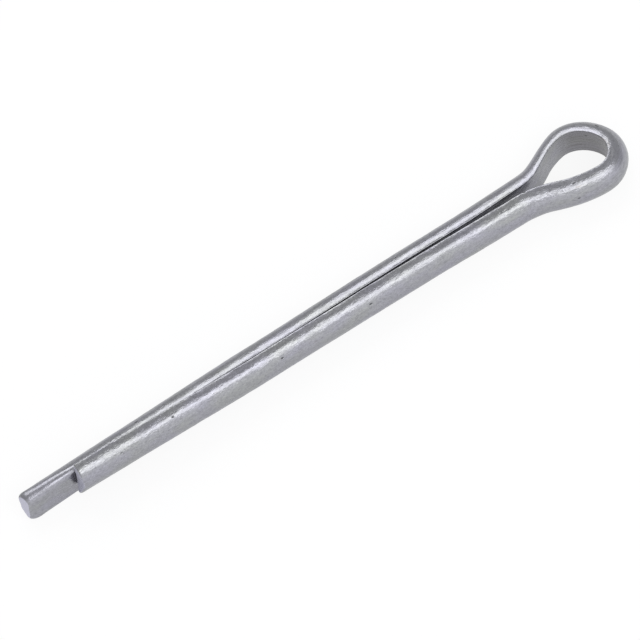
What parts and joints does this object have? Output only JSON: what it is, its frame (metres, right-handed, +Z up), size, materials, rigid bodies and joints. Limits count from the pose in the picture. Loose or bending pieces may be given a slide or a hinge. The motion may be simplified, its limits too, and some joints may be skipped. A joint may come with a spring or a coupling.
{
  "type": "split pin",
  "caption": "Split pin bent from one half-round wire, with an open eye, two tight legs of unequal length and a rounded long tip.",
  "frame": {"origin": "on the surface that the pin lies on, under the middle of its outline", "axes": "+X runs along the legs towards the eye, +Y from the short leg to the long leg, +Z up through the eye"},
  "size_m": [0.1052, 0.0131, 0.0057],
  "materials": {
    "wire": "zinc plated, drawn and lightly scuffed"
  },
  "bodies": {
    "root": {"split_pin": "wire"}
  },
  "joints": []
}
